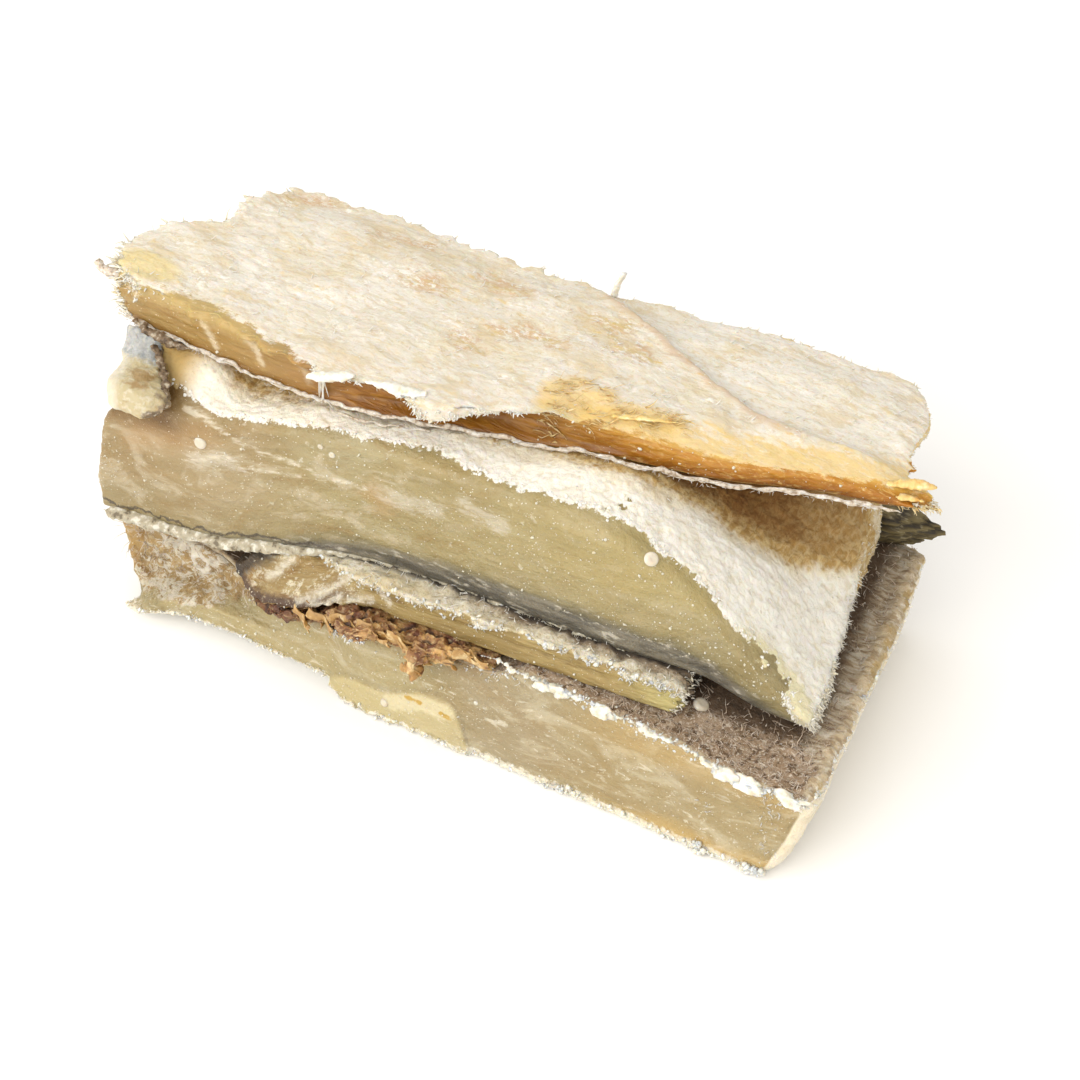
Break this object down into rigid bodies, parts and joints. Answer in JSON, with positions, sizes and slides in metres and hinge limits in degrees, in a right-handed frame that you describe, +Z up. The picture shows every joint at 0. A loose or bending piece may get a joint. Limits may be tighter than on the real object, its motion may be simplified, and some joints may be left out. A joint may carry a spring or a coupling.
{
  "type": "salted pollock fillet",
  "caption": "Block of dried, salted white-fish fillet portions pressed together, with waxy cut faces, chalky salt crust, brown skin and ragged dried edges.",
  "frame": {"origin": "middle of the underside of the whole block's box", "axes": "+X along the block's long side, towards the natural edge of the loin; +Z up; the cut faces look along -Y"},
  "size_m": [0.1664, 0.083, 0.0685],
  "materials": {
    "cut_flesh": "waxy, slightly translucent olive-beige cut flesh with lengthwise streaks and white salt specks",
    "salt_crust": "matt, fibrous cream-white salt crust with tan and pink patches",
    "belly_flesh": "waxy olive-brown belly flesh with a fuzzy cream top",
    "dried_membrane": "crumpled red-brown and amber dried membrane",
    "dark_strip": "dark olive-green striped dried flesh and skin",
    "pale_skin": "pale blue-grey translucent skin over cream-yellow flesh",
    "brown_skin": "fuzzy brown-grey fish skin dusted with salt",
    "salt": "white and clear salt grains and lumps"
  },
  "bodies": {
    "root": {"base_portion": "cut_flesh", "membrane_shreds": "dried_membrane", "belly_strip": "belly_flesh", "loin_portion": "cut_flesh", "rear_strip": "dark_strip", "skin_flap": "pale_skin", "top_portion": "salt_crust"}
  },
  "joints": []
}
